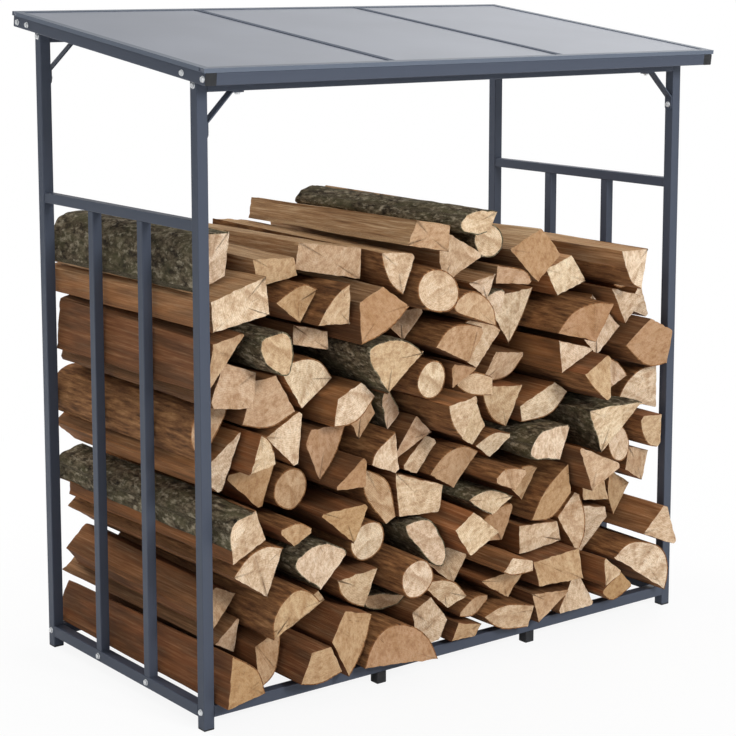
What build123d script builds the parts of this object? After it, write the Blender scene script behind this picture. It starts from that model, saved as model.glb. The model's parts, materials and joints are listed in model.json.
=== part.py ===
# Log store: an open steel frame on corner posts, a lean-to roof of three clear
# sheets, and the split logs that it holds.
# Millimetres, Z up, front at -Y, origin on the ground under the middle of the roof.
from build123d import *
import math
import operator
import os
import random

os.makedirs("parts", exist_ok=True)

# Driving sizes
height = 1450.0          # ground to the back edge of the roof
post_span_x = 1350.0     # over the outer faces of the posts
post_span_y = 660.0      # over the front and back faces of the posts
over_front = 75.0        # roof past the front posts
over_back = 50.0         # roof past the back posts
roof_angle = 7.0         # fall of the roof to the front, degrees
post = 25.0              # square tube of the posts and the bottom rails
rail = 22.0              # square tube of the side rails and the bars
wall = 1.5               # wall of every tube
tube_round = 2.0         # outer corner radius of the tubes
rail_drop = 400.0        # back edge of the roof to the top of the side rails
ground_gap = 26.0        # ground to the bottom rails
sheet = 6.0              # thickness of the roof sheets
trim_wall = 1.4          # U section round the edge of the sheets
trim_depth = 18.0
trim_overhang = 4.5      # past the roof rails, over their bolt heads
divider_width = 16.0     # its cap and its shelf
divider_web = 3.0
divider_stem = 12.0      # its lower part, between the roof beams
plug_flange = 2.0        # plastic plugs in the ends of the roof rails
plug_insert = 12.0
foot_flange = 4.0
foot_insert = 14.0
foot_bevel = 1.2
middle_foot = 25.0
brace_reach = 60.0       # corner brace, along the post and along the beam
brace_tab = 32.0
brace_width = 20.0
brace_thick = 3.0
brace_end_flat = 1.2     # left between the two roundings of a tab's end

# Clearances
seat = 0.2               # between pieces that bear on each other
slip = 0.3               # between pieces that lie side by side
slot_play = 0.1          # above and below a roof sheet in its slot
post_top_gap = 1.0       # from a post to the sheet above it

# Logs
log_seed = 14
log_small = 128.0        # widest part of a log's section
log_large = 200.0
log_blunt = 15.0         # cut back from a thin edge, along both of its faces
thin_edge = 66.0         # a corner below this angle is a thin edge, degrees
log_margin = 3.0         # from a log end to the drip line of the roof
log_over = 80.0          # longest log past the depth over the posts
log_vary = 110.0         # how much shorter the others are
log_stagger = 150.0      # how far the front ends lie behind each other
base_stagger = 40.0      # the same for the lowest logs, which reach both rails
side_reach = 160.0       # logs this near a side reach to the back of the roof
log_skew = 14.0          # how far an end is off square, degrees
skyline_step = 6.0
log_layers = 8
log_choices = 3          # shapes tried for each place

# Top of the heap: share of the inner half width, share of the side rail height
heap_outline = [(-1.0, 0.975), (-0.62, 0.955), (-0.3, 0.965), (0.0, 0.985),
                (0.3, 0.96), (0.5, 0.905), (0.8, 0.875), (1.0, 0.855)]

# Derived sizes
slope = math.radians(roof_angle)
side_rail_top = height - rail_drop
roof_depth = post_span_y + over_front + over_back
y_front = -roof_depth / 2
y_back = roof_depth / 2
post_front = y_front + over_front
post_back = y_back - over_back
post_x = post_span_x / 2 - post / 2
post_y_front = post_front + post / 2
post_y_back = post_back - post / 2
inner_x = post_span_x / 2 - post
rail_top = ground_gap + post
trim_height = sheet + 2 * slot_play + 2 * trim_wall
frame_depth = trim_height + seat + post
roof_length = (roof_depth - frame_depth * math.sin(slope)) / math.cos(slope)
z_front_top = height - roof_length * math.sin(slope)
rail_inner_x = post_span_x / 2 + slip
roof_outer_x = rail_inner_x + post + trim_overhang
sheet_top = -trim_wall - slot_play
sheet_bottom = sheet_top - sheet
divider_start = trim_depth + seat
divider_end = roof_length - trim_depth - seat
divider_x = (roof_outer_x - trim_wall) / 3


def roof_z(y, below):
    """Height of the plane that lies `below` under the top of the roof, at y."""
    return z_front_top + (y - y_front) * math.tan(slope) - below / math.cos(slope)


def on_roof(shape):
    """Carry a shape from the flat roof frame to its place on the slope."""
    return Pos(0, y_front, z_front_top) * Rot(roof_angle, 0, 0) * shape


def tube_section(across, high):
    outer = RectangleRounded(across, high, tube_round)
    return outer - Rectangle(across - 2 * wall, high - 2 * wall)


def tube_along_x(x0, x1, y, z, across, high):
    section = Plane(origin=(x0, y, z), x_dir=(0, 1, 0), z_dir=(1, 0, 0))
    return extrude(section * tube_section(across, high), x1 - x0)


def tube_along_y(y0, y1, x, z, size):
    section = Plane(origin=(x, y0, z), x_dir=(-1, 0, 0), z_dir=(0, 1, 0))
    return extrude(section * tube_section(size, size), y1 - y0)


def tube_along_z(z0, z1, x, y, size):
    return extrude(Pos(x, y, z0) * tube_section(size, size), z1 - z0)


def block(x0, x1, y0, y1, z0, z1):
    body = Box(x1 - x0, y1 - y0, z1 - z0)
    return Pos((x0 + x1) / 2, (y0 + y1) / 2, (z0 + z1) / 2) * body


# Posts, cut to the slope just under the sheets
def make_post(x, y):
    body = tube_along_z(foot_flange, height, x, y, post)
    size = 2 * roof_depth
    cutter = block(-size, size, -size, size, sheet_bottom - post_top_gap, size)
    return body - on_roof(cutter)


def make_post_foot(x, y):
    flange = block(-post / 2, post / 2, -post / 2, post / 2, 0, foot_flange)
    flange = fillet(flange.edges().filter_by(Axis.Z), tube_round)
    flange = chamfer(flange.faces().sort_by(Axis.Z)[0].edges(), foot_bevel)
    half = post / 2 - wall - seat
    insert = block(-half, half, -half, half, foot_flange, foot_flange + foot_insert)
    return Pos(x, y, 0) * (flange + insert)


def make_middle_foot(x, y):
    half = middle_foot / 2
    body = block(-half, half, -half, half, 0, ground_gap)
    body = fillet(body.edges().filter_by(Axis.Z), tube_round)
    body = chamfer(body.faces().sort_by(Axis.Z)[0].edges(), foot_bevel)
    return Pos(x, y, 0) * body


# Bottom rails between the posts
def make_bottom_rail_x(y):
    end = inner_x - seat
    return tube_along_x(-end, end, y, ground_gap + post / 2, post, post)


def make_bottom_rail_y(x):
    start = post_front + post + seat
    end = post_back - post - seat
    return tube_along_y(start, end, x, ground_gap + post / 2, post)


# Side rails and the two bars below each of them
def make_side_rail(x):
    start = post_front + post + seat
    end = post_back - post - seat
    return tube_along_y(start, end, x, side_rail_top - rail / 2, rail)


def bar_y(number):
    clear = post_span_y - 2 * post
    return post_front + post + clear * number / 3


def make_side_bar(x, number):
    top = side_rail_top - rail - seat
    return tube_along_z(rail_top + seat, top, x, bar_y(number), rail)


# Beams between the posts, under the roof dividers
def beam_top(y):
    return roof_z(y - post / 2, frame_depth) - seat


def make_top_beam(y):
    end = inner_x - seat
    return tube_along_x(-end, end, y, beam_top(y) - post / 2, post, post)


# Sloped roof rails on the outer faces of the posts, plugged at both ends
def make_roof_rail(side):
    x = side * (rail_inner_x + post / 2)
    z = -trim_height - seat - post / 2
    return on_roof(tube_along_y(plug_flange, roof_length - plug_flange, x, z, post))


def make_rail_plug(side, end):
    x = side * (rail_inner_x + post / 2)
    z = -trim_height - seat - post / 2
    flange = block(-post / 2, post / 2, 0, plug_flange, -post / 2, post / 2)
    flange = fillet(flange.edges().filter_by(Axis.Y), tube_round)
    half = post / 2 - wall - seat
    insert = block(-half, half, plug_flange, plug_flange + plug_insert, -half, half)
    plug = flange + insert
    if end == "back":
        plug = Pos(0, roof_length, 0) * mirror(plug, about=Plane.XZ)
    return on_roof(Pos(x, 0, z) * plug)


# Roof beams between the roof rails
def make_roof_beam(start):
    end = rail_inner_x - seat
    z = -trim_height - seat - post / 2
    return on_roof(tube_along_x(-end, end, start + post / 2, z, post, post))


# U sections that hold the sheets, lying on the rails and beams of the roof
def trim_section():
    web = Pos(trim_wall / 2, -trim_height / 2) * Rectangle(trim_wall, trim_height)
    top = Pos(trim_depth / 2, -trim_wall / 2) * Rectangle(trim_depth, trim_wall)
    foot = Pos(0, trim_wall - trim_height) * top
    return web + top + foot


def make_trim_x(position, inward):
    start = -roof_outer_x * inward
    plane = Plane(origin=(start, position, 0), x_dir=(0, inward, 0), z_dir=(inward, 0, 0))
    return on_roof(extrude(plane * trim_section(), 2 * roof_outer_x))


def make_trim_y(side):
    origin_y = divider_start if side > 0 else divider_end
    plane = Plane(origin=(side * roof_outer_x, origin_y, 0), x_dir=(-side, 0, 0),
                  z_dir=(0, side, 0))
    return on_roof(extrude(plane * trim_section(), divider_end - divider_start))


# Dividers: cap, web and shelf hold the sheets, the stem stands on the top beams
def make_divider(x):
    plane = Plane(origin=(x, divider_end, 0), x_dir=(1, 0, 0), z_dir=(0, -1, 0))
    cap = Pos(0, -trim_wall / 2) * Rectangle(divider_width, trim_wall)
    web = Pos(0, -trim_height / 2) * Rectangle(divider_web, trim_height)
    shelf = Pos(0, trim_wall - trim_height) * cap
    upper = on_roof(extrude(plane * (cap + web + shelf), divider_end - divider_start))
    start = post + seat
    stem = block(x - divider_stem / 2, x + divider_stem / 2, start, roof_length - start,
                 -frame_depth, -trim_height)
    return upper + on_roof(stem)


def make_sheet(x0, x1):
    start = trim_wall + slip
    end = roof_length - trim_wall - slip
    return on_roof(block(x0 + slip, x1 - slip, start, end, sheet_bottom, sheet_top))


# Corner brace: flat bar, a tab on the post, a slanted run and a tab under the beam
def make_brace(side, y):
    lift = brace_thick * (math.sqrt(2) - 1)
    far = brace_reach + brace_tab
    outline = Polyline((seat, -far), (seat, -brace_reach), (brace_reach, -seat),
                       (far, -seat), (far, -brace_thick - seat),
                       (brace_reach + lift, -brace_thick - seat),
                       (brace_thick + seat, -brace_reach - lift),
                       (brace_thick + seat, -far), close=True)
    corner_z = beam_top(y) - post
    plane = Plane(origin=(0, y + brace_width / 2, corner_z), x_dir=(1, 0, 0),
                  z_dir=(0, -1, 0))
    strap = extrude(plane * make_face(outline), brace_width)
    low = strap.faces().sort_by(Axis.Z)[0].edges().filter_by(Axis.X)
    end = strap.faces().sort_by(Axis.X)[-1].edges().filter_by(Axis.Z)
    strap = fillet(low + end, (brace_width - brace_end_flat) / 2)
    strap = Pos(-inner_x, 0, 0) * strap
    if side > 0:
        strap = mirror(strap, about=Plane.YZ)
    return strap


# Cross-section of one split log, as a convex outline about its middle
def convex_outline(points):
    ordered = sorted(points)
    chains = []
    for run in (ordered, ordered[::-1]):
        chain = []
        for p in run:
            while len(chain) > 1 and turn(chain[-2], chain[-1], p) <= 1e-6:
                chain.pop()
            chain.append(p)
        chains.append(chain[:-1])
    return chains[0] + chains[1]


def turn(a, b, c):
    return (b[0] - a[0]) * (c[1] - a[1]) - (b[1] - a[1]) * (c[0] - a[0])


def toward(a, b, distance):
    """Point on the way from a to b, at most a third of the way."""
    share = min(distance / math.dist(a, b), 1 / 3)
    return (a[0] + (b[0] - a[0]) * share, a[1] + (b[1] - a[1]) * share)


def blunted(points):
    """Cut off the thin edges, which don't stay on a log that is split and thrown."""
    kept = []
    for k in range(len(points)):
        a, b, c = points[k - 1], points[k], points[(k + 1) % len(points)]
        into = (a[0] - b[0]) * (c[0] - b[0]) + (a[1] - b[1]) * (c[1] - b[1])
        if into > math.dist(a, b) * math.dist(b, c) * math.cos(math.radians(thin_edge)):
            kept += [toward(b, a, log_blunt), toward(b, c, log_blunt)]
        else:
            kept.append(b)
    return kept


def log_outline(rng):
    size = rng.uniform(log_small, log_large)
    kind = rng.random()
    points = []
    if kind < 0.46:
        count = rng.choice((3, 4, 4, 5))
        flat = rng.uniform(0.55, 0.95) if count == 3 else rng.uniform(0.45, 0.85)
        first = rng.uniform(0, 360)
        for k in range(count):
            angle = math.radians(first + (k + rng.uniform(-0.22, 0.22)) * 360 / count)
            points.append((size / 2 * math.cos(angle), size / 2 * flat * math.sin(angle)))
        return blunted(convex_outline(points))
    if kind < 0.53:
        sweep, corners, heart, radius = 360, 9, 0, 0.36 * size
    elif kind < 0.60:
        sweep, corners, heart, radius = 180, 6, 1, 0.52 * size
    elif kind < 0.84:
        sweep, corners, heart, radius = rng.uniform(58, 105), 4, 1, 0.80 * size
    else:
        sweep, corners, heart, radius = rng.uniform(38, 60), 3, 2, 1.15 * size
    count = corners if sweep == 360 else corners - 1
    for k in range(corners):
        angle = math.radians(sweep * k / count)
        reach = radius * rng.uniform(0.92, 1.05)
        points.append((reach * math.cos(angle), reach * math.sin(angle)))
    if heart == 1:
        bend = math.radians(sweep / 2 + rng.uniform(-20, 20))
        depth = radius * rng.uniform(-0.05, 0.18)
        points.append((depth * math.cos(bend), depth * math.sin(bend)))
    if heart == 2:
        inner = radius * rng.uniform(0.22, 0.5)
        points.append((inner, 0.0))
        far = math.radians(sweep)
        points.append((inner * math.cos(far), inner * math.sin(far)))
    return blunted(convex_outline(points))


def turned(points, angle):
    cos, sin = math.cos(angle), math.sin(angle)
    spun = [(x * cos - z * sin, x * sin + z * cos) for x, z in points]
    mid_x = (min(x for x, z in spun) + max(x for x, z in spun)) / 2
    low = min(z for x, z in spun)
    return [(x - mid_x, z - low) for x, z in spun]


def span_at(points, x):
    """Lowest and highest z of a convex outline at x, or None outside it."""
    low, high = None, None
    for k in range(len(points)):
        (xa, za), (xb, zb) = points[k - 1], points[k]
        if min(xa, xb) - 1e-9 <= x <= max(xa, xb) + 1e-9:
            if abs(xb - xa) < 1e-9:
                found = (za, zb)
            else:
                z = za + (zb - za) * (x - xa) / (xb - xa)
                found = (z, z)
            low = min(found) if low is None else min(low, *found)
            high = max(found) if high is None else max(high, *found)
    return None if low is None else (low, high)


def heap_limit(x):
    share = x / inner_x
    for (sa, za), (sb, zb) in zip(heap_outline, heap_outline[1:]):
        if share <= sb:
            return side_rail_top * (za + (zb - za) * (share - sa) / (sb - sa))
    return side_rail_top * heap_outline[-1][1]


def rest_height(points, x, placed):
    """Exact height at which the outline, moved to x, comes to rest on the heap."""
    rest = rail_top
    left = min(p[0] for p in points) + x
    right = max(p[0] for p in points) + x
    for other in placed:
        other_left = min(p[0] for p in other)
        other_right = max(p[0] for p in other)
        if other_left >= right or other_right <= left:
            continue
        marks = [max(left, other_left), min(right, other_right)]
        marks += [p[0] + x for p in points]
        marks += [p[0] for p in other]
        for mark in marks:
            if marks[0] <= mark <= marks[1]:
                mine = span_at(points, mark - x)
                theirs = span_at(other, mark)
                if mine and theirs:
                    rest = max(rest, theirs[1] - mine[0])
    return rest + slip


def side_gap(skyline, start, step, level):
    """Cells from a log's flank to the heap or the frame beside it, at most ten."""
    for count in range(11):
        cell = start + step * count
        if cell < 0 or cell >= len(skyline) or skyline[cell] > level:
            return count
    return 0


def stack_logs():
    """Drop split logs one by one into the place where each leaves least room."""
    rng = random.Random(log_seed)
    limit = inner_x - slip
    cells = int(2 * limit / skyline_step)
    skyline = [rail_top] * (cells + 1)
    placed = []
    misses = 0
    while misses < 10 and len(placed) < 170:
        best = None
        for _ in range(log_choices):
            shape = log_outline(rng)
            start = rng.uniform(0, 45)
            for spin in range(8):
                points = turned(shape, math.radians(start + 45 * spin))
                half = max(p[0] for p in points)
                top = max(p[1] for p in points)
                samples = int(2 * half / skyline_step)
                under = []
                for k in range(samples + 1):
                    under.append(span_at(points, -half + k * skyline_step)[0])
                for first in range(0, cells - samples):
                    window = skyline[first:first + samples + 1]
                    z = max(map(operator.sub, window, under))
                    x = -limit + first * skyline_step + half
                    if z + top > heap_limit(x):
                        continue
                    waste = z * (samples + 1) + sum(under) - sum(window)
                    middle = z + 0.5 * top
                    beside = side_gap(skyline, first - 1, -1, middle)
                    beside += side_gap(skyline, first + samples + 1, 1, middle)
                    score = middle + 0.9 * waste * skyline_step / half
                    score += 0.37 * skyline_step * beside - 0.35 * half
                    if best is None or score < best[0]:
                        best = (score, points, x)
        if best is None:
            misses += 1
            continue
        points, x = best[1], best[2]
        z = rest_height(points, x, placed)
        solid = [(px + x, pz + z) for px, pz in points]
        placed.append(solid)
        left = min(p[0] for p in solid)
        right = max(p[0] for p in solid)
        for k in range(cells + 1):
            mark = -limit + k * skyline_step
            near = min(max(mark, left), right)
            if abs(near - mark) <= skyline_step / 2:
                skyline[k] = max(skyline[k], span_at(solid, near)[1])
    return placed


# A log: the section run from front to back, with both ends a little off square
def make_log(outline, rng):
    xs = [x for x, z in outline]
    zs = [z for x, z in outline]
    mid_x, mid_z = (min(xs) + max(xs)) / 2, (min(zs) + max(zs)) / 2
    lowest = min(zs) < rail_top + 2 * slip
    back = y_back - log_margin
    if lowest:
        start = y_front + log_margin + rng.uniform(0, base_stagger)
        end = back - rng.uniform(0, base_stagger)
    else:
        start = y_front + log_margin + rng.uniform(0, log_stagger)
        length = post_span_y + log_over - rng.uniform(0, log_vary)
        farthest = back - rng.uniform(0, base_stagger)
        beside = abs(mid_x) > inner_x - side_reach
        end = farthest if beside else min(start + length, farthest)
    plane = Plane(origin=(0, y_front, 0), x_dir=(1, 0, 0), z_dir=(0, -1, 0))
    body = extrude(plane * make_face(Polyline(*outline, close=True)), -roof_depth)
    for y, out in ((start, -1), (end, 1)):
        lean_x = math.tan(math.radians(rng.uniform(-log_skew, log_skew)))
        lean_z = math.tan(math.radians(rng.uniform(-log_skew, log_skew)))
        room = (max(xs) - mid_x) * abs(lean_x) + (max(zs) - mid_z) * abs(lean_z)
        cut = Plane(origin=(mid_x, y - out * room, mid_z), z_dir=(lean_x, out, lean_z))
        body = split(body, bisect_by=cut, keep=Keep.BOTTOM)
    return body


# Frame
corners = {"front_left": (-post_x, post_y_front), "front_right": (post_x, post_y_front),
           "back_left": (-post_x, post_y_back), "back_right": (post_x, post_y_back)}
for name, (x, y) in corners.items():
    export_step(make_post(x, y), "parts/post_" + name + ".step")
    side = -1 if x < 0 else 1
    export_step(make_brace(side, y), "parts/brace_" + name + ".step")
feet = [make_post_foot(x, y) for x, y in corners.values()]
export_step(Compound(children=feet), "parts/post_feet.step")
third = 2 * inner_x / 6
stubs = [make_middle_foot(x, y) for x in (-third, third) for y in (post_y_front, post_y_back)]
export_step(Compound(children=stubs), "parts/middle_feet.step")
export_step(make_bottom_rail_x(post_y_front), "parts/bottom_rail_front.step")
export_step(make_bottom_rail_x(post_y_back), "parts/bottom_rail_back.step")
for name, x in (("left", -post_x), ("right", post_x)):
    export_step(make_bottom_rail_y(x), "parts/bottom_rail_" + name + ".step")
    export_step(make_side_rail(x), "parts/side_rail_" + name + ".step")
    export_step(make_side_bar(x, 1), "parts/side_bar_" + name + "_front.step")
    export_step(make_side_bar(x, 2), "parts/side_bar_" + name + "_back.step")

# Roof
export_step(make_top_beam(post_y_front), "parts/top_beam_front.step")
export_step(make_top_beam(post_y_back), "parts/top_beam_back.step")
export_step(make_roof_beam(0), "parts/roof_beam_front.step")
export_step(make_roof_beam(roof_length - post), "parts/roof_beam_back.step")
plugs = []
for name, side in (("left", -1), ("right", 1)):
    export_step(make_roof_rail(side), "parts/roof_rail_" + name + ".step")
    export_step(make_trim_y(side), "parts/roof_trim_" + name + ".step")
    export_step(make_divider(side * divider_x), "parts/roof_divider_" + name + ".step")
    plugs += [make_rail_plug(side, "front"), make_rail_plug(side, "back")]
export_step(Compound(children=plugs), "parts/roof_rail_plugs.step")
export_step(make_trim_x(0, 1), "parts/roof_trim_front.step")
export_step(make_trim_x(roof_length, -1), "parts/roof_trim_back.step")
bounds = [-roof_outer_x + trim_wall, -divider_x - divider_web / 2,
          -divider_x + divider_web / 2, divider_x - divider_web / 2,
          divider_x + divider_web / 2, roof_outer_x - trim_wall]
export_step(make_sheet(bounds[0], bounds[1]), "parts/roof_sheet_left.step")
export_step(make_sheet(bounds[2], bounds[3]), "parts/roof_sheet_middle.step")
export_step(make_sheet(bounds[4], bounds[5]), "parts/roof_sheet_right.step")

# Logs, one node for each layer of the heap
length_rng = random.Random(log_seed + 1)
heap = sorted(stack_logs(), key=lambda o: sum(p[1] for p in o) / len(o))
heap_top = max(p[1] for o in heap for p in o)
layers = [[] for _ in range(log_layers)]
for outline in heap:
    middle = sum(p[1] for p in outline) / len(outline)
    share = (middle - rail_top) / (heap_top - rail_top)
    layers[min(int(share * log_layers), log_layers - 1)].append(outline)
for number, layer in enumerate(layers, 1):
    logs = [make_log(outline, length_rng) for outline in layer]
    export_step(Compound(children=logs), "parts/logs_layer_" + str(number) + ".step")
print("logs", len(heap), "heap top", round(heap_top), [len(layer) for layer in layers])
print("beam underside", round(beam_top(post_y_front) - post, 1))
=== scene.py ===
"""Dress the log store: coated steel, ribbed roof sheets, fasteners and split logs.

All sizes are metres in the frame of the part: Z up, the open front at -Y, the
origin on the ground under the middle of the roof.
"""

from __future__ import annotations

import json
import logging
import math
import random
from dataclasses import dataclass, field
from enum import Enum

import bpy
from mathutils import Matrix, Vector, noise

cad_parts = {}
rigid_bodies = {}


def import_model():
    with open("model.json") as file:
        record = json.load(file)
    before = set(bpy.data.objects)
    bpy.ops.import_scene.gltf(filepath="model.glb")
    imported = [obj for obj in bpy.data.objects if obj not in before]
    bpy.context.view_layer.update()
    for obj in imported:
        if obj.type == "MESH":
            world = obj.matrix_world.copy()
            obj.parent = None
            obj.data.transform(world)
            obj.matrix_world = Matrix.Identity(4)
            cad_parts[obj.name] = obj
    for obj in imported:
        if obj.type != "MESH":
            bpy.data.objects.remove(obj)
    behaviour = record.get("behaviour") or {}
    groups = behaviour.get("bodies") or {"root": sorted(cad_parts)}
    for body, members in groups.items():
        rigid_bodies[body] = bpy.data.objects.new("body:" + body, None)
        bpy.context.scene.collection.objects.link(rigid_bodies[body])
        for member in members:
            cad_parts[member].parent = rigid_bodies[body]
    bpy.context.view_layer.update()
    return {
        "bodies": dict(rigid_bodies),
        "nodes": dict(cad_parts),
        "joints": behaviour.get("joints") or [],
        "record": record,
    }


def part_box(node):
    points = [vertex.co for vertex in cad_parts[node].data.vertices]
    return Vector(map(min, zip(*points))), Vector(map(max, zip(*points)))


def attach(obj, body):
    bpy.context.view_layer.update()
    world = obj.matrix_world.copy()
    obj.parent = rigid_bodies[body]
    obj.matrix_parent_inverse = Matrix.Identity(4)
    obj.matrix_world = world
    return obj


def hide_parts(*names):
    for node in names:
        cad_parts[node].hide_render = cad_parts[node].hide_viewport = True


LOG = logging.getLogger("log_store")
MM = 0.001
# Blender's wave texture repeats after this length at a scale of 1.
WAVE_LENGTH = math.tau / 20
# The third tone of a log runs from 0 to this: it shifts noise and picks the age.
TONE_RANGE = 9.0
Color = tuple[float, float, float, float]
Point = tuple[float, float]
Place = tuple[float, float, float]


def linear(code: str) -> Color:
    """Turn an sRGB hex colour into the linear values that a shader takes.

    Args:
        code: Six hex digits with a leading hash.

    Returns:
        Red, green, blue and an alpha of one.
    """
    values = []
    for k in (1, 3, 5):
        v = int(code[k:k + 2], 16) / 255
        values.append(v / 12.92 if v <= 0.04045 else ((v + 0.055) / 1.055) ** 2.4)
    return (values[0], values[1], values[2], 1.0)


def set_inputs(tree: bpy.types.NodeTree, node: bpy.types.Node,
               inputs: dict[str | int, object]) -> None:
    """Set or link a node's inputs.

    Args:
        tree: Node tree that holds the node.
        node: The node.
        inputs: For an input's name or number, a value or an output to link.
    """
    for key, value in inputs.items():
        if isinstance(value, bpy.types.NodeSocket):
            tree.links.new(value, node.inputs[key])
        else:
            node.inputs[key].default_value = value


def add_node(tree: bpy.types.NodeTree, kind: str,
             inputs: dict[str | int, object] | None = None,
             stops: list[tuple[float, str]] | None = None,
             **settings: object) -> bpy.types.Node:
    """Add one node with its settings and links.

    Args:
        tree: Node tree that receives the node.
        kind: Node type, without the leading ShaderNode.
        inputs: For an input's name or number, a value or an output to link.
        stops: Places and sRGB colours, where the node is a colour ramp.
        **settings: Properties of the node.

    Returns:
        The new node.
    """
    node = tree.nodes.new("ShaderNode" + kind)
    for key, value in settings.items():
        setattr(node, key, value)
    set_inputs(tree, node, inputs or {})
    if stops:
        elements = node.color_ramp.elements
        while len(elements) < len(stops):
            elements.new(1.0)
        for element, (place, code) in zip(elements, stops):
            element.position = place
            element.color = linear(code)
    return node


def new_material(name: str) -> tuple[bpy.types.Material, bpy.types.NodeTree, bpy.types.Node]:
    """Make an empty material.

    Args:
        name: Name of the material.

    Returns:
        The material, its node tree and its Principled shader.
    """
    material = bpy.data.materials.new(name)
    material.use_nodes = True
    tree = material.node_tree
    return material, tree, tree.nodes["Principled BSDF"]


def add_object(name: str, data: bpy.types.ID) -> bpy.types.Object:
    """Make an object and link it to the scene.

    Args:
        name: Name of the object.
        data: Its mesh, lamp or camera data.

    Returns:
        The object.
    """
    obj = bpy.data.objects.new(name, data)
    bpy.context.scene.collection.objects.link(obj)
    return obj


def wear_material(obj: bpy.types.Object, *materials: bpy.types.Material) -> None:
    """Give an object these materials and no others.

    Args:
        obj: A node or a piece.
        *materials: Its materials, in the order of their slots.
    """
    obj.data.materials.clear()
    for material in materials:
        obj.data.materials.append(material)


@dataclass(frozen=True)
class PowderCoat:
    """Polyester powder coat, sprayed on steel and baked: satin, with orange peel."""

    name: str = "steel_powder_coated_anthracite"
    color: str = "#2d323c"
    thick: str = "#343a46"
    edge_tone: str = "#484e5b"
    roughness: float = 0.42
    film: float = 110 * MM
    peel: float = 2.2 * MM

    def make(self) -> bpy.types.Material:
        """Build the material.

        Returns:
            The material.
        """
        material, tree, shader = new_material(self.name)
        spot = add_node(tree, "TexCoord").outputs["Object"]
        # Slow change in the film's thickness: a coated surface is never one flat tone.
        film = add_node(tree, "TexNoise", {"Vector": spot, "Scale": 1 / self.film,
                                           "Detail": 3.0})
        tone = add_node(tree, "ValToRGB", {"Fac": film.outputs["Fac"]},
                        stops=[(0.30, self.color), (0.72, self.thick)])
        # Orange peel of about 2 mm, which breaks up the highlights on the flat faces.
        peel = add_node(tree, "TexNoise", {"Vector": spot, "Scale": 1 / self.peel,
                                           "Detail": 2.0})
        bump = add_node(tree, "Bump", {"Strength": 0.12, "Distance": 0.4 * MM,
                                       "Height": peel.outputs["Fac"]})
        # Edges and corners, where the surface is most pointed, show a little paler.
        edge = add_node(tree, "NewGeometry").outputs["Pointiness"]
        paler_edges = add_node(tree, "MapRange", {"Value": edge, "From Min": 0.53, "From Max": 0.62})
        shade = add_node(tree, "Mix", {0: paler_edges.outputs[0], 6: tone.outputs[0],
                                       7: linear(self.edge_tone)}, data_type="RGBA")
        rough = add_node(tree, "MapRange", {"Value": film.outputs["Fac"],
                                            "To Min": self.roughness - 0.05,
                                            "To Max": self.roughness + 0.06})
        set_inputs(tree, shader, {"Base Color": shade.outputs[2], "Normal": bump.outputs[0],
                                  "Roughness": rough.outputs[0],
                                  "Specular IOR Level": 0.22})
        return material


@dataclass(frozen=True)
class MouldedPlastic:
    """Black polyethylene, injection moulded: matt, with a fine spark texture."""

    name: str = "polyethylene_moulded_black"
    dust: float = 16 * MM
    grain: float = 1.2 * MM

    def make(self) -> bpy.types.Material:
        """Build the material.

        Returns:
            The material.
        """
        material, tree, shader = new_material(self.name)
        spot = add_node(tree, "TexCoord").outputs["Object"]
        dust = add_node(tree, "TexNoise", {"Vector": spot, "Scale": 1 / self.dust,
                                           "Detail": 4.0})
        tone = add_node(tree, "ValToRGB", {"Fac": dust.outputs["Fac"]},
                        stops=[(0.35, "#17181a"), (0.75, "#26272a")])
        # Spark texture of the mould, drawn at 1.2 mm so that it shows at all.
        spark = add_node(tree, "TexNoise", {"Vector": spot, "Scale": 1 / self.grain})
        bump = add_node(tree, "Bump", {"Strength": 0.25, "Distance": 0.2 * MM,
                                       "Height": spark.outputs["Fac"]})
        set_inputs(tree, shader, {"Base Color": tone.outputs[0], "Normal": bump.outputs[0],
                                  "Roughness": 0.55, "IOR": 1.5})
        return material


@dataclass(frozen=True)
class ZincPlate:
    """Bright zinc on steel fasteners, electroplated: pale grey with soft glints."""

    name: str = "steel_zinc_plated"
    spangle: float = 4 * MM

    def make(self) -> bpy.types.Material:
        """Build the material.

        Returns:
            The material.
        """
        material, tree, shader = new_material(self.name)
        spot = add_node(tree, "TexCoord").outputs["Object"]
        cloud = add_node(tree, "TexNoise", {"Vector": spot, "Scale": 1 / self.spangle,
                                            "Detail": 3.0})
        tone = add_node(tree, "ValToRGB", {"Fac": cloud.outputs["Fac"]},
                        stops=[(0.30, "#dfe1e3"), (0.70, "#fafbfb")])
        rough = add_node(tree, "MapRange", {"Value": cloud.outputs["Fac"],
                                            "To Min": 0.34, "To Max": 0.52})
        set_inputs(tree, shader, {"Base Color": tone.outputs[0],
                                  "Roughness": rough.outputs[0], "Metallic": 0.75})
        return material


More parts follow.
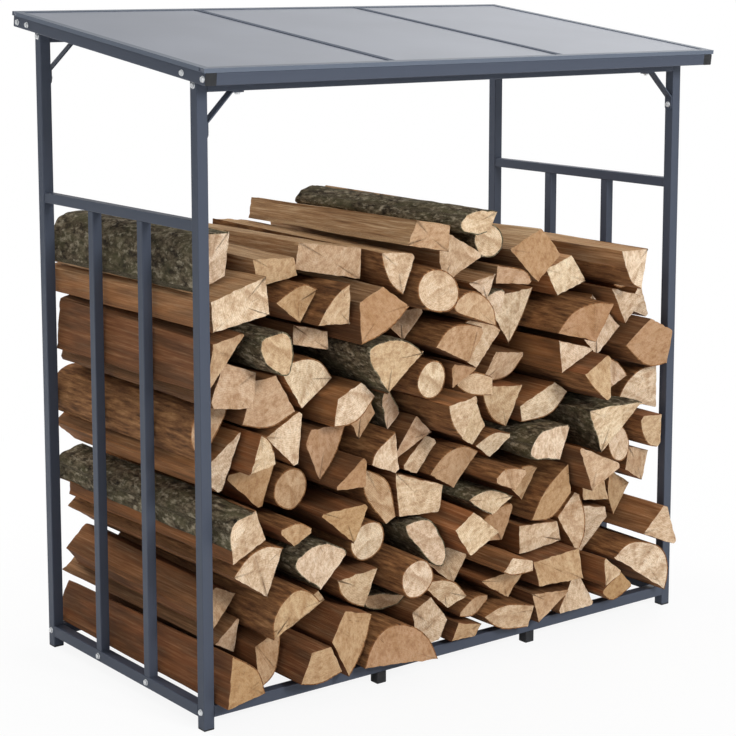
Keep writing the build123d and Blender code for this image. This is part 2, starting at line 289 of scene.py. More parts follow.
@dataclass(frozen=True)
class TwinWallSheet:
    """Polycarbonate, extruded as a twin-wall sheet: grey tint, gloss, fine flutes."""

    name: str = "polycarbonate_twin_wall_grey"
    dark: str = "#727887"
    pale: str = "#848a99"
    flute: float = 6 * MM
    haze: float = 280 * MM

    def make(self) -> bpy.types.Material:
        """Build the material.

        Returns:
            The material.
        """
        material, tree, shader = new_material(self.name)
        spot = add_node(tree, "TexCoord").outputs["Object"]
        # Flutes run along the front edge, one for each 6 mm of the slope.
        wave = add_node(tree, "TexWave", {"Vector": spot, "Distortion": 0.0, "Detail": 0.0,
                                          "Scale": WAVE_LENGTH / self.flute},
                        wave_type="BANDS", bands_direction="Y", wave_profile="SIN")
        haze = add_node(tree, "TexNoise", {"Vector": spot, "Scale": 1 / self.haze,
                                           "Detail": 3.0})
        both = add_node(tree, "Math", {0: wave.outputs["Fac"], 1: 0.35}, operation="MULTIPLY")
        level = add_node(tree, "Math", {0: both.outputs[0], 1: haze.outputs["Fac"]},
                         operation="ADD")
        tone = add_node(tree, "ValToRGB", {"Fac": level.outputs[0]},
                        stops=[(0.40, self.dark), (0.95, self.pale)])
        bump = add_node(tree, "Bump", {"Strength": 0.25, "Distance": 0.25 * MM,
                                       "Height": wave.outputs["Fac"]})
        set_inputs(tree, shader, {"Base Color": tone.outputs[0], "Normal": bump.outputs[0],
                                  "Roughness": 0.28, "IOR": 1.58,
                                  "Transmission Weight": 0.15})
        return material


class Cover(Enum):
    """Which material a face of a log wears, by its place on the piece."""

    END = 0
    SPLIT = 1
    SMOOTH = 2
    MOSSY = 3


@dataclass(frozen=True)
class SawnEnd:
    """Hardwood end grain, sawn across: cream, with rings, saw marks and checks."""

    name: str = "hardwood_sawn_end_grain"
    ring: float = 4.5 * MM
    kerf: float = 3.6 * MM
    wobble: float = 38 * MM
    bend: float = 6 * MM
    fibre: float = 5 * MM
    cloud: float = 42 * MM
    blotch: float = 16 * MM

    def wood_color(self, tree: bpy.types.NodeTree, heart: bpy.types.NodeSocket,
                   tone: bpy.types.Node, cloud: bpy.types.Node) -> bpy.types.NodeSocket:
        """Tint the wood of one log, with its stains and blotches.

        Args:
            tree: Node tree of the material.
            heart: Place from the middle of the trunk.
            tone: The three tones of the log, apart.
            cloud: Slow noise over the end.

        Returns:
            The colour.
        """
        base = add_node(tree, "Mix", {0: tone.outputs[0], 6: linear("#fcf0da"),
                                      7: linear("#a27d59")}, data_type="RGBA")
        # One trunk is yellow, the next pink: each log leans to one of the two.
        hue = add_node(tree, "Mix", {0: tone.outputs[1], 6: linear("#ecd19c"),
                                     7: linear("#d0a78c")}, data_type="RGBA")
        leant = add_node(tree, "Mix", {0: 0.30, 6: base.outputs[2], 7: hue.outputs[2]},
                         data_type="RGBA")
        stain = add_node(tree, "MapRange", {"Value": cloud.outputs["Fac"], "From Min": 0.46,
                                            "From Max": 0.72, "To Max": 0.55})
        warm = add_node(tree, "Mix", {0: stain.outputs[0], 6: leant.outputs[2],
                                      7: linear("#9a734c")}, data_type="RGBA")
        # Blotches of 16 mm where sap dried: end grain is never one even tone.
        blotch = add_node(tree, "TexNoise", {"Vector": heart, "Scale": 1 / self.blotch,
                                             "Detail": 3.0, "Roughness": 0.65})
        shade = add_node(tree, "ValToRGB", {"Fac": blotch.outputs["Fac"]},
                         stops=[(0.36, "#ffffff"), (0.50, "#f0e6da"), (0.66, "#b89a80")])
        dried = add_node(tree, "Mix", {0: 0.62, 6: warm.outputs[2], 7: shade.outputs[0]},
                         data_type="RGBA", blend_type="MULTIPLY")
        return dried.outputs[2]

    def growth_rings(self, tree: bpy.types.NodeTree,
                     flat: bpy.types.Node) -> bpy.types.NodeSocket:
        """Draw rings 4.5 mm apart, twice the real growth, or they would not show.

        Args:
            tree: Node tree of the material.
            flat: Place from the middle of the trunk, across it.

        Returns:
            How strongly the dark late wood shows.
        """
        away = add_node(tree, "VectorMath", {0: flat.outputs[0]}, operation="LENGTH")
        wobble = add_node(tree, "TexNoise", {"Vector": flat.outputs[0],
                                             "Scale": 1 / self.wobble, "Detail": 2.0})
        bent = add_node(tree, "MapRange", {"Value": wobble.outputs["Fac"],
                                           "To Min": -self.bend, "To Max": self.bend})
        radius = add_node(tree, "Math", {0: away.outputs["Value"], 1: bent.outputs[0]},
                          operation="ADD")
        turns = add_node(tree, "Math", {0: radius.outputs[0], 1: math.tau / self.ring},
                         operation="MULTIPLY")
        rings = add_node(tree, "Math", {0: turns.outputs[0]}, operation="SINE")
        ring = add_node(tree, "MapRange", {"Value": rings.outputs[0], "From Min": 0.1,
                                           "From Max": 1.0, "To Max": 0.26})
        return ring.outputs[0]

    def saw_marks(self, tree: bpy.types.NodeTree, across: bpy.types.NodeSocket,
                  cloud: bpy.types.Node) -> bpy.types.NodeSocket:
        """Draw the shallow steps of the saw across the face, 3 to 4 mm apart.

        Args:
            tree: Node tree of the material.
            across: Place square to the saw's bar.
            cloud: Slow noise over the end, which makes the marks come and go.

        Returns:
            How deep the marks are.
        """
        step = add_node(tree, "Math", {0: across, 1: math.tau / self.kerf},
                        operation="MULTIPLY")
        marks = add_node(tree, "Math", {0: step.outputs[0]}, operation="SINE")
        patch = add_node(tree, "Math", {0: marks.outputs[0], 1: cloud.outputs["Fac"]},
                         operation="MULTIPLY")
        scored = add_node(tree, "MapRange", {"Value": patch.outputs[0], "From Min": 0.1,
                                             "From Max": 0.6, "To Max": 0.30})
        return scored.outputs[0]

    def drying_checks(self, tree: bpy.types.NodeTree, part: bpy.types.Node,
                      tone: bpy.types.Node, cloud: bpy.types.Node) -> bpy.types.NodeSocket:
        """Draw thin dark rays that start at the heart and fade outwards.

        Args:
            tree: Node tree of the material.
            part: Place from the middle of the trunk, apart.
            tone: The three tones of the log, apart, so that no two logs crack alike.
            cloud: Slow noise over the end, which makes the rays come and go.
        """
        angle = add_node(tree, "Math", {0: part.outputs[0], 1: part.outputs[1]},
                         operation="ARCTAN2")
        sweep = add_node(tree, "Math", {0: angle.outputs[0], 1: 2.2}, operation="MULTIPLY")
        ray_at = add_node(tree, "CombineXYZ", {0: sweep.outputs[0], 1: tone.outputs[1],
                                               2: tone.outputs[2]})
        ray = add_node(tree, "TexNoise", {"Vector": ray_at.outputs[0], "Scale": 3.1,
                                          "Detail": 1.0})
        near = add_node(tree, "Math", {0: ray.outputs["Fac"], 1: 0.5}, operation="SUBTRACT")
        gap = add_node(tree, "Math", {0: near.outputs[0]}, operation="ABSOLUTE")
        thin = add_node(tree, "MapRange", {"Value": gap.outputs[0], "From Min": 0.006,
                                           "From Max": 0.0})
        fade = add_node(tree, "MapRange", {"Value": cloud.outputs["Fac"], "From Min": 0.50,
                                           "From Max": 0.60, "To Max": 0.85})
        check = add_node(tree, "Math", {0: thin.outputs[0], 1: fade.outputs[0]},
                         operation="MULTIPLY")
        return check.outputs[0]

    def make(self) -> bpy.types.Material:
        """Build the material.

        Returns:
            The material.
        """
        material, tree, shader = new_material(self.name)
        heart = add_node(tree, "Attribute", attribute_name="heart").outputs["Vector"]
        tones = add_node(tree, "Attribute", attribute_name="tone").outputs["Vector"]
        tone = add_node(tree, "SeparateXYZ", {0: tones})
        part = add_node(tree, "SeparateXYZ", {0: heart})
        flat = add_node(tree, "CombineXYZ", {0: part.outputs[0], 1: part.outputs[1]})
        cloud = add_node(tree, "TexNoise", {"Vector": heart, "Scale": 1 / self.cloud,
                                            "Detail": 5.0, "Roughness": 0.6})
        wood = self.wood_color(tree, heart, tone, cloud)
        ring = self.growth_rings(tree, flat)
        lined = add_node(tree, "Mix", {0: ring, 6: wood, 7: linear("#ac7c4c")},
                         data_type="RGBA")
        # Fibres seen end-on: a fine speckle that the chain of the saw pulls up.
        speck = add_node(tree, "TexNoise", {"Vector": flat.outputs[0],
                                            "Scale": 1 / self.fibre, "Detail": 4.0,
                                            "Roughness": 0.75})
        grain = add_node(tree, "MapRange", {"Value": speck.outputs["Fac"], "From Min": 0.48,
                                            "From Max": 0.72, "To Max": 0.62})
        dotted = add_node(tree, "Mix", {0: grain.outputs[0], 6: lined.outputs[2],
                                        7: linear("#8d6440")}, data_type="RGBA")
        scored = self.saw_marks(tree, part.outputs[2], cloud)
        sawn = add_node(tree, "Mix", {0: scored, 6: dotted.outputs[2],
                                      7: linear("#b78a5b")}, data_type="RGBA")
        check = self.drying_checks(tree, part, tone, cloud)
        cracked = add_node(tree, "Mix", {0: check, 6: sawn.outputs[2],
                                         7: linear("#5b3c22")}, data_type="RGBA")
        high = add_node(tree, "Math", {0: speck.outputs["Fac"], 1: scored},
                        operation="SUBTRACT")
        deep = add_node(tree, "Math", {0: high.outputs[0], 1: check}, operation="SUBTRACT")
        bump = add_node(tree, "Bump", {"Strength": 0.8, "Distance": 1.4 * MM,
                                       "Height": deep.outputs[0]})
        set_inputs(tree, shader, {"Base Color": cracked.outputs[2],
                                  "Normal": bump.outputs[0], "Roughness": 0.85,
                                  "Specular IOR Level": 0.25})
        return material


@dataclass(frozen=True)
class SplitFace:
    """Hardwood, split along the grain: brown, with long torn fibres."""

    name: str = "hardwood_split_along_grain"
    fibre: Point = (5 * MM, 150 * MM)
    band: Point = (30 * MM, 200 * MM)

    def wood_color(self, tree: bpy.types.NodeTree, tone: bpy.types.Node,
                   fibre: bpy.types.Node, broad: bpy.types.Node) -> bpy.types.NodeSocket:
        """Tint the split wood of one log.

        Args:
            tree: Node tree of the material.
            tone: The three tones of the log, apart.
            fibre: Noise of the single fibres.
            broad: Noise of the broad bands.

        Returns:
            The colour.
        """
        streak = add_node(tree, "ValToRGB", {"Fac": fibre.outputs["Fac"]},
                          stops=[(0.30, "#332115"), (0.44, "#68492f"), (0.56, "#9a7551"),
                                 (0.70, "#d8b385")])
        ruddy = add_node(tree, "Mix", {0: tone.outputs[1], 6: linear("#a8562b"),
                                       7: linear("#75604a")}, data_type="RGBA")
        mixed = add_node(tree, "Mix", {0: 0.44, 6: streak.outputs[0], 7: ruddy.outputs[2]},
                         data_type="RGBA")
        # Fresh splits are light and warm, old ones dark: the log's third tone picks.
        age = add_node(tree, "MapRange", {"Value": tone.outputs[2], "To Max": 0.5,
                                          "From Max": TONE_RANGE})
        fresh = add_node(tree, "Mix", {0: age.outputs[0], 6: mixed.outputs[2],
                                       7: linear("#b4733c")}, data_type="RGBA")
        share = add_node(tree, "MapRange", {"Value": broad.outputs["Fac"], "From Min": 0.40,
                                            "From Max": 0.62, "To Max": 0.7})
        toned = add_node(tree, "Mix", {0: share.outputs[0], 6: fresh.outputs[2],
                                       7: linear("#4b2f1d")}, data_type="RGBA")
        # No two trunks are the same brown: some logs are darker from end to end.
        species = add_node(tree, "ValToRGB", {"Fac": tone.outputs[0]},
                           stops=[(0.15, "#fff9f0"), (0.85, "#c2afa0")])
        varied = add_node(tree, "Mix", {0: 1.0, 6: toned.outputs[2], 7: species.outputs[0]},
                          data_type="RGBA", blend_type="MULTIPLY")
        return varied.outputs[2]

    def paint_top_light(self, tree: bpy.types.NodeTree) -> bpy.types.NodeSocket:
        """Find the faces that get painted light from above: those that look up, high on the
        heap.

        Args:
            tree: Node tree of the material.

        Returns:
            How far the wood is bleached.
        """
        facing = add_node(tree, "NewGeometry").outputs["Normal"]
        upward = add_node(tree, "SeparateXYZ", {0: facing})
        # Painted highlight: the more a face looks up, the paler it is painted.
        upward_light = add_node(tree, "MapRange", {"Value": upward.outputs[2], "From Min": 0.2,
                                               "From Max": 0.8, "To Max": 0.7})
        spot = add_node(tree, "TexCoord").outputs["Object"]
        height = add_node(tree, "SeparateXYZ", {0: spot})
        top = add_node(tree, "MapRange", {"Value": height.outputs[2], "From Min": 0.80,
                                          "From Max": 0.98, "To Min": 0.12})
        lifted = add_node(tree, "Math", {0: upward_light.outputs[0], 1: 0.6}, operation="ADD",
                          use_clamp=True)
        top_light = add_node(tree, "Math", {0: lifted.outputs[0], 1: top.outputs[0]},
                       operation="MULTIPLY")
        return top_light.outputs[0]

    def make(self) -> bpy.types.Material:
        """Build the material.

        Returns:
            The material.
        """
        material, tree, shader = new_material(self.name)
        run = add_node(tree, "Attribute", attribute_name="run").outputs["Vector"]
        tones = add_node(tree, "Attribute", attribute_name="tone").outputs["Vector"]
        tone = add_node(tree, "SeparateXYZ", {0: tones})
        # Fibres 5 mm wide and about 150 mm long: the grain runs the length of the log.
        along = add_node(tree, "VectorMath", {0: run, 1: (1 / self.fibre[0],
                                                          1 / self.fibre[1], 1.0)},
                         operation="MULTIPLY")
        fibre = add_node(tree, "TexNoise", {"Vector": along.outputs[0], "Scale": 1.0,
                                            "Detail": 6.0, "Roughness": 0.72})
        broad_at = add_node(tree, "VectorMath", {0: run, 1: (1 / self.band[0],
                                                             1 / self.band[1], 1.0)},
                            operation="MULTIPLY")
        broad = add_node(tree, "TexNoise", {"Vector": broad_at.outputs[0], "Scale": 1.0,
                                            "Detail": 3.0})
        wood = self.wood_color(tree, tone, fibre, broad)
        # Painted light: near the top of the heap, faces take this paler brown as if lit from
        # above.
        pale = add_node(tree, "ValToRGB", {"Fac": fibre.outputs["Fac"]},
                        stops=[(0.32, "#86664a"), (0.50, "#bf976c"), (0.68, "#ecd0a8")])
        top_lit = add_node(tree, "Mix", {0: self.paint_top_light(tree), 6: wood,
                                          7: pale.outputs[0]}, data_type="RGBA")
        high = add_node(tree, "Math", {0: fibre.outputs["Fac"], 1: broad.outputs["Fac"]},
                        operation="ADD")
        bump = add_node(tree, "Bump", {"Strength": 0.75, "Distance": 1.6 * MM,
                                       "Height": high.outputs[0]})
        set_inputs(tree, shader, {"Base Color": top_lit.outputs[2],
                                  "Normal": bump.outputs[0], "Roughness": 0.8,
                                  "Specular IOR Level": 0.25})
        return material


@dataclass(frozen=True)
class BarkCover:
    """Bark as it grew: thin and ruddy on a young stem, or plated, with moss on it."""

    name: str
    kind: Cover
    colors: tuple[str, str, str, str]
    across: float
    along: float
    depth: float
    moss: float = 3.6
    crust: float = 0.9

    def make(self) -> bpy.types.Material:
        """Build the material.

        Returns:
            The material.
        """
        material, tree, shader = new_material(self.name)
        run = add_node(tree, "Attribute", attribute_name="run").outputs["Vector"]
        plate_at = add_node(tree, "VectorMath", {0: run, 1: (1 / self.across, 1 / self.along,
                                                             1.0)}, operation="MULTIPLY")
        plates = add_node(tree, "TexNoise", {"Vector": plate_at.outputs[0], "Scale": 1.0,
                                             "Detail": 6.0, "Roughness": 0.66})
        tone = add_node(tree, "ValToRGB", {"Fac": plates.outputs["Fac"]},
                        stops=list(zip((0.30, 0.44, 0.56, 0.72), self.colors)))
        color = tone.outputs[0]
        if self.kind is Cover.MOSSY:
            # A patch of moss covers 3 to 4 plates, 50 to 90 mm, and leaves others bare.
            moss = add_node(tree, "TexNoise", {"Vector": plate_at.outputs[0],
                                               "Scale": 1 / self.moss, "Detail": 6.0,
                                               "Roughness": 0.7})
            cover = add_node(tree, "MapRange", {"Value": moss.outputs["Fac"],
                                                "From Min": 0.44, "From Max": 0.60,
                                                "To Max": 0.75})
            green = add_node(tree, "Mix", {0: cover.outputs[0], 6: color,
                                           7: linear("#57523a")}, data_type="RGBA")
            # Lichen as pale crusts of 12 x 22 mm, a little smaller than a plate.
            crust = add_node(tree, "TexNoise", {"Vector": plate_at.outputs[0],
                                                "Scale": 1 / self.crust, "Detail": 5.0,
                                                "Roughness": 0.62})
            spots = add_node(tree, "MapRange", {"Value": crust.outputs["Fac"],
                                                "From Min": 0.53, "From Max": 0.68,
                                                "To Max": 0.85})
            pale = add_node(tree, "Mix", {0: spots.outputs[0], 6: green.outputs[2],
                                          7: linear("#a99c85")}, data_type="RGBA")
            color = pale.outputs[2]
        bump = add_node(tree, "Bump", {"Strength": 0.85, "Distance": self.depth,
                                       "Height": plates.outputs["Fac"]})
        set_inputs(tree, shader, {"Base Color": color, "Normal": bump.outputs[0],
                                  "Roughness": 0.9, "Specular IOR Level": 0.2})
        return material


@dataclass
class SteelFrame:
    """Posts, rails, beams, braces, feet and plugs, which keep the solids of the part."""

    nodes: dict[str, bpy.types.Object]
    tubes: tuple[str, ...] = ("post_front", "post_back", "bottom_rail", "side_rail",
                              "side_bar", "top_beam", "brace", "roof_rail_left",
                              "roof_rail_right", "roof_beam")
    sections: tuple[str, ...] = ("roof_trim",)
    dividers: tuple[str, ...] = ("roof_divider",)
    plastic: tuple[str, ...] = ("post_feet", "middle_feet", "roof_rail_plugs")

    def dress(self) -> None:
        """Coat the steel pieces, and give feet and plugs their plastic."""
        # The edge sections are a little paler and glossier, the dividers matt.
        finishes = {
            self.tubes: PowderCoat().make(),
            self.sections: PowderCoat("steel_section_powder_coated_anthracite", "#474e59",
                                      "#4f5763", "#606875", 0.34).make(),
            self.dividers: PowderCoat("steel_divider_powder_coated_matt", "#3c424d",
                                      "#444a56", "#545b68", 0.6).make(),
            self.plastic: MouldedPlastic().make(),
        }
        for name, node in self.nodes.items():
            for starts, material in finishes.items():
                if name.startswith(starts):
                    wear_material(node, material)
                    LOG.info("%s: %s", name, material.name)


@dataclass
class RoofSheets:
    """The three sheets of the roof, cut from one kind of twin-wall sheet."""

    nodes: dict[str, bpy.types.Object]

    def dress(self) -> None:
        """Give the sheets their grey tint."""
        sheet = TwinWallSheet().make()
        for side in ("left", "middle", "right"):
            wear_material(self.nodes["roof_sheet_" + side], sheet)
            LOG.info("roof_sheet_%s: %s", side, sheet.name)


@dataclass
class Fasteners:
    """Zinc-plated hexagon bolts with washers, as one joined mesh for each area."""

    across_flats: float = 10 * MM
    head: float = 3.2 * MM
    washer_radius: float = 6.8 * MM
    washer: float = 1.1 * MM
    rounds: int = 24
    post_outer_x: float = 0.675
    post_inner_x: float = 0.650
    post_y: tuple[float, float] = (-0.305, 0.330)
    bar_y: tuple[float, float] = (-0.0892, 0.1142)
    roof_y: tuple[float, ...] = (-0.380, -0.305, 0.330, 0.3735)
    rail_z: float = 0.0385
    roof_outer_x: float = 0.7003
    roof_angle: float = math.radians(7.0)
    roof_depth: float = 0.785
    height: float = 1.450
    rail_below: float = 21.7 * MM
    beam_below: float = 47.0 * MM
    tab_centre: float = 78 * MM
    tab_thick: float = 3.2 * MM
    seed: int = 11

    def bolt(self, seat: Vector, axis: Vector, turn: float
             ) -> tuple[list[Vector], list[tuple[int, ...]]]:
        """Build one bolt head on its washer.

        Args:
            seat: Middle of the washer's underside.
            axis: Direction in which the head stands out.
            turn: Angle of the hexagon about the axis.

        Returns:
            Points and faces.
        """
        side = axis.orthogonal().normalized()
        other = axis.cross(side)
        wide = self.washer_radius
        flat = self.across_flats / 2
        tip = self.washer + self.head
        # Radius, height and whether the ring is a hexagon: the washer with its broken
        # edge, the six flats of the head, and its round chamfer and flat top.
        rings = [(wide, 0.0, False), (wide, self.washer * 0.7, False),
                 (wide * 0.96, self.washer, False), (flat * 1.02, self.washer, True),
                 (flat, tip * 0.86, True), (flat * 0.92, tip, False),
                 (flat * 0.5, tip, False)]
        points: list[Vector] = []
        faces: list[tuple[int, ...]] = []
        for radius, lift, hexagon in rings:
            for k in range(self.rounds):
                angle = math.tau * k / self.rounds
                reach = radius
                if hexagon:
                    bay = (angle + math.pi / 6) % (math.pi / 3) - math.pi / 6
                    reach = radius / math.cos(bay)
                a = angle + turn
                points.append(seat + axis * lift
                              + (side * math.cos(a) + other * math.sin(a)) * reach)
        for r in range(len(rings) - 1):
            for k in range(self.rounds):
                n = (k + 1) % self.rounds
                low, high = r * self.rounds, (r + 1) * self.rounds
                faces.append((low + k, low + n, high + n, high + k))
        last = (len(rings) - 1) * self.rounds
        faces.append(tuple(range(last, last + self.rounds)))
        faces.append(tuple(reversed(range(self.rounds))))
        return points, faces

    def roof_point(self, x: float, y: float, below: float) -> Vector:
        """Find a point on the side of the roof's frame.

        Args:
            x: Place across the store.
            y: Place from front to back.
            below: Distance under the top of the roof, square to its slope.

        Returns:
            The point.
        """
        back = self.roof_depth / 2
        z = self.height - (back - y) * math.tan(self.roof_angle)
        return Vector((x, y, z - below / math.cos(self.roof_angle)))

    def seats(self) -> dict[str, list[tuple[Vector, Vector]]]:
        """List where the bolts sit.

        Returns:
            For each area, the seats and directions of its bolts.
        """
        frame: list[tuple[Vector, Vector]] = []
        roof: list[tuple[Vector, Vector]] = []
        braces: list[tuple[Vector, Vector]] = []
        for side in (-1, 1):
            out = Vector((side, 0, 0))
            for y in self.post_y + self.bar_y:
                frame.append((Vector((side * self.post_outer_x, y, self.rail_z)), out))
            for y in self.post_y:
                beam = self.roof_point(side * self.post_outer_x, y, self.beam_below)
                frame.append((beam, out))
                corner = self.beam_under(y)
                inner = side * (self.post_inner_x - self.tab_thick)
                braces.append((Vector((inner, y, corner - self.tab_centre)), -out))
                under = Vector((side * (self.post_inner_x - self.tab_centre), y,
                                corner - self.tab_thick))
                braces.append((under, Vector((0, 0, -1))))
            for y in self.roof_y:
                roof.append((self.roof_point(side * self.roof_outer_x, y, self.rail_below),
                             out))
        return {"bolts_frame": frame, "bolts_roof": roof, "bolts_braces": braces}

    def beam_under(self, y: float) -> float:
        """Return the height of the underside of the top beam at y."""
        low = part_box("top_beam_front" if y < 0 else "top_beam_back")[0]
        return low[2]

    def build(self) -> None:
        """Make the joined meshes and fix them to the frame."""
        zinc = ZincPlate().make()
        rng = random.Random(self.seed)
        for name, seats in self.seats().items():
            points: list[Vector] = []
            faces: list[tuple[int, ...]] = []
            for seat, axis in seats:
                more, rings = self.bolt(seat, axis, rng.uniform(0, math.tau))
                start = len(points)
                points += more
                faces += [tuple(start + k for k in ring) for ring in rings]
            mesh = bpy.data.meshes.new(name)
            mesh.from_pydata(points, [], faces)
            mesh.update()
            piece = add_object(name, mesh)
            wear_material(piece, zinc)
            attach(piece, "root")
            LOG.info("%s: %d bolts", name, len(seats))


@dataclass
class Corner:
    """One corner of a log's section, with the ends of its edge along the log."""

    x: float
    z: float
    front: float
    back: float


@dataclass
class RingPoint:
    """One point of the worked-out outline: place, inward direction and cover."""

    x: float
    z: float
    inward: Point
    way: float
    bark: float


@dataclass
class SplitLog:
    """One split log, worked out in detail inside its plain prism."""

    corners: list[Corner]
    rng: random.Random
    mossy: bool = False
    step: float = 8.5 * MM
    merge: float = 0.6 * MM
    split_round: float = 4.5 * MM
    round_spread: Point = (0.6, 1.4)
    bark_low: float = math.radians(9)
    bark_high: float = math.radians(56)
    far_heart: Point = (30, 90)
    pale_bias: float = 1.15
    inner_rings: int = 19
    inner_start: float = 0.03
    end_steps: Point = (1.6 * MM, 6 * MM)
    end_sink: float = 0.5 * MM
    bow: float = 1.2 * MM
    taper: float = 0.16
    thick_front_share: float = 0.45
    cap_shares: Place = (0.0, 0.30, 0.62)
    bark_rim: float = 2.6 * MM
    saw_rough: float = 0.5 * MM

    def __post_init__(self) -> None:
        """Work out cover, heart and tones of the log."""
        count = len(self.corners)
        self.mid = (sum(c.x for c in self.corners) / count,
                    sum(c.z for c in self.corners) / count)
        self.front_plane = self.plane([c.front for c in self.corners])
        self.back_plane = self.plane([c.back for c in self.corners])
        turns = []
        for k in range(count):
            a, b, c = self.corners[k - 1], self.corners[k], self.corners[(k + 1) % count]
            first = math.atan2(b.z - a.z, b.x - a.x)
            second = math.atan2(c.z - b.z, c.x - b.x)
            turns.append((second - first) % math.tau)
        self.round = [self.bark_low < t < self.bark_high for t in turns]
        self.edge_bark = [self.round[k] or self.round[(k + 1) % count]
                          for k in range(count)]
        if self.mossy:
            for k in range(count):
                a, b = self.corners[k], self.corners[(k + 1) % count]
                if b.z - a.z < 0 or b.x - a.x < 0:
                    self.edge_bark[k] = True
            self.round = [self.edge_bark[k - 1] and self.edge_bark[k]
                          for k in range(count)]
        self.turns = turns
        self.heart = self.find_heart()
        self.tone = (self.rng.random() ** self.pale_bias, self.rng.random(),
                     self.rng.random() * TONE_RANGE)
        self.saw = self.rng.uniform(0, math.pi)
        self.seed = self.rng.uniform(0, 60)

    def plane(self, values: list[float]) -> tuple[float, float, float]:
        """Fit a plane to a value at each corner.

        Args:
            values: The value at each corner.

        Returns:
            The value in the middle, and how it grows along x and z.
        """
        xs = [c.x - self.mid[0] for c in self.corners]
        zs = [c.z - self.mid[1] for c in self.corners]
        mean = sum(values) / len(values)
        xx, zz = sum(x * x for x in xs), sum(z * z for z in zs)
        xz = sum(x * z for x, z in zip(xs, zs))
        xv = sum(x * (v - mean) for x, v in zip(xs, values))
        zv = sum(z * (v - mean) for z, v in zip(zs, values))
        scale = xx * zz - xz * xz
        return mean, (xv * zz - zv * xz) / scale, (zv * xx - xv * xz) / scale

    def at(self, plane: tuple[float, float, float], x: float, z: float) -> float:
        """Return the value of a fitted plane at x and z."""
        return plane[0] + plane[1] * (x - self.mid[0]) + plane[2] * (z - self.mid[1])

    def find_heart(self) -> Point:
        """Find the middle of the trunk that the log was split from.

        Returns:
            Its x and z, inside a round log and outside a slab.
        """
        count = len(self.corners)
        bent = [k for k in range(count) if self.round[k]]
        edges = [k for k in range(count) if self.round[k] or self.round[(k + 1) % count]]
        if len(edges) == count:
            return self.mid
        if len(edges) < 2:
            angle = self.rng.uniform(0, math.tau)
            reach = self.rng.uniform(*self.far_heart) * MM
            return (self.mid[0] + reach * math.cos(angle),
                    self.mid[1] + reach * math.sin(angle))
        sweep = sum(self.turns[k] for k in bent) * len(edges) / max(1, len(edges) - 1)
        length = 0.0
        for k in edges:
            a, b = self.corners[k], self.corners[(k + 1) % count]
            length += math.hypot(b.x - a.x, b.z - a.z)
        first = next(k for k in edges if (k - 1) % count not in edges)
        last = next((k + 1) % count for k in edges if (k + 1) % count not in edges)
        a, b = self.corners[first], self.corners[last]
        mid = ((a.x + b.x) / 2, (a.z + b.z) / 2)
        across = Vector((-(b.z - a.z), b.x - a.x)).normalized()
        inside = Vector((self.mid[0] - mid[0], self.mid[1] - mid[1]))
        if across.dot(inside) < 0 and sweep < math.pi:
            across = -across
        reach = length / sweep * math.cos(min(sweep, math.pi) / 2)
        return (mid[0] + across.x * reach, mid[1] + across.y * reach)

    def cut(self, edge: Vector, bent: bool, small: float) -> float:
        """Return how much of an edge its corner's rounding takes: half in bark."""
        return 0.5 * edge.length if bent else min(small, 0.3 * edge.length)

    def outline(self) -> list[RingPoint]:
        """Round the corners and space points along the outline.

        Returns:
            Points in order, counter-clockwise as seen with x right and z up.
        """
        count = len(self.corners)
        path: list[tuple[float, float, float]] = []
        for k in range(count):
            a, b, c = self.corners[k - 1], self.corners[k], self.corners[(k + 1) % count]
            before = Vector((a.x - b.x, a.z - b.z))
            after = Vector((c.x - b.x, c.z - b.z))
            small = self.rng.uniform(*self.round_spread) * self.split_round
            cut_a = self.cut(before, self.round[k], small)
            cut_b = self.cut(after, self.round[k], small)
            corner = Vector((b.x, b.z))
            start = corner + before.normalized() * cut_a
            end = corner + after.normalized() * cut_b
            bends = max(2, round((cut_a + cut_b) / self.step)) if self.round[k] else 2
            left = 1.0 if self.edge_bark[k - 1] else 0.0
            right = 1.0 if self.edge_bark[k] else 0.0
            for n in range(bends + 1):
                t = n / bends
                p = start * (1 - t) ** 2 + corner * 2 * t * (1 - t) + end * t * t
                path.append((p.x, p.y, left if t < 0.5 else right))
            spare = self.cut(after, self.round[(k + 1) % count],
                             self.round_spread[1] * self.split_round)
            stop = Vector((c.x, c.z)) - after.normalized() * spare
            fills = int((stop - end).length / self.step)
            for n in range(1, fills):
                p = end.lerp(stop, n / fills)
                path.append((p.x, p.y, right))
        kept: list[tuple[float, float, float]] = []
        for p in path:
            if not kept or math.dist(p[:2], kept[-1][:2]) > self.merge:
                kept.append(p)
        while math.dist(kept[0][:2], kept[-1][:2]) < self.merge:
            kept.pop()
        points: list[RingPoint] = []
        way = 0.0
        for k, (x, z, bark) in enumerate(kept):
            a, b = kept[k - 1], kept[(k + 1) % len(kept)]
            along = Vector((b[0] - a[0], b[1] - a[1])).normalized()
            if k:
                way += math.hypot(x - kept[k - 1][0], z - kept[k - 1][1])
            points.append(RingPoint(x, z, (-along.y, along.x), way, bark))
        return points

    def ripple(self, u: float, v: float, shift: int = 0) -> float:
        """Return smooth noise of this log at u and v, between -1 and 1."""
        return noise.noise(Vector((u, v, self.seed + shift)))

    def sink(self, point: RingPoint, y: float) -> float:
        """Work out how far the surface lies inside the plain prism.

        Args:
            point: Point of the outline.
            y: Place along the log.

        Returns:
            The depth, never below zero.
        """
        s = point.way
        # The factors of s and y say how often the noise changes in a metre round and
        # along the log. The sums are depths in millimetres.
        wave = self.ripple(s * 9, y * 5)
        if point.bark > 0.5 and self.mossy:
            # Old bark: lumps of 40 x 65 mm, plates of 14 x 40 mm and crumbs of 6 x 11 mm.
            lump = self.ripple(s * 24, y * 15, 15)
            plate = self.ripple(s * 70, y * 26, 7)
            crumb = self.ripple(s * 160, y * 90, 3)
            depth = 3.4 + 1.5 * wave + 4.0 * lump + 2.2 * plate + 0.8 * crumb
        elif point.bark > 0.5:
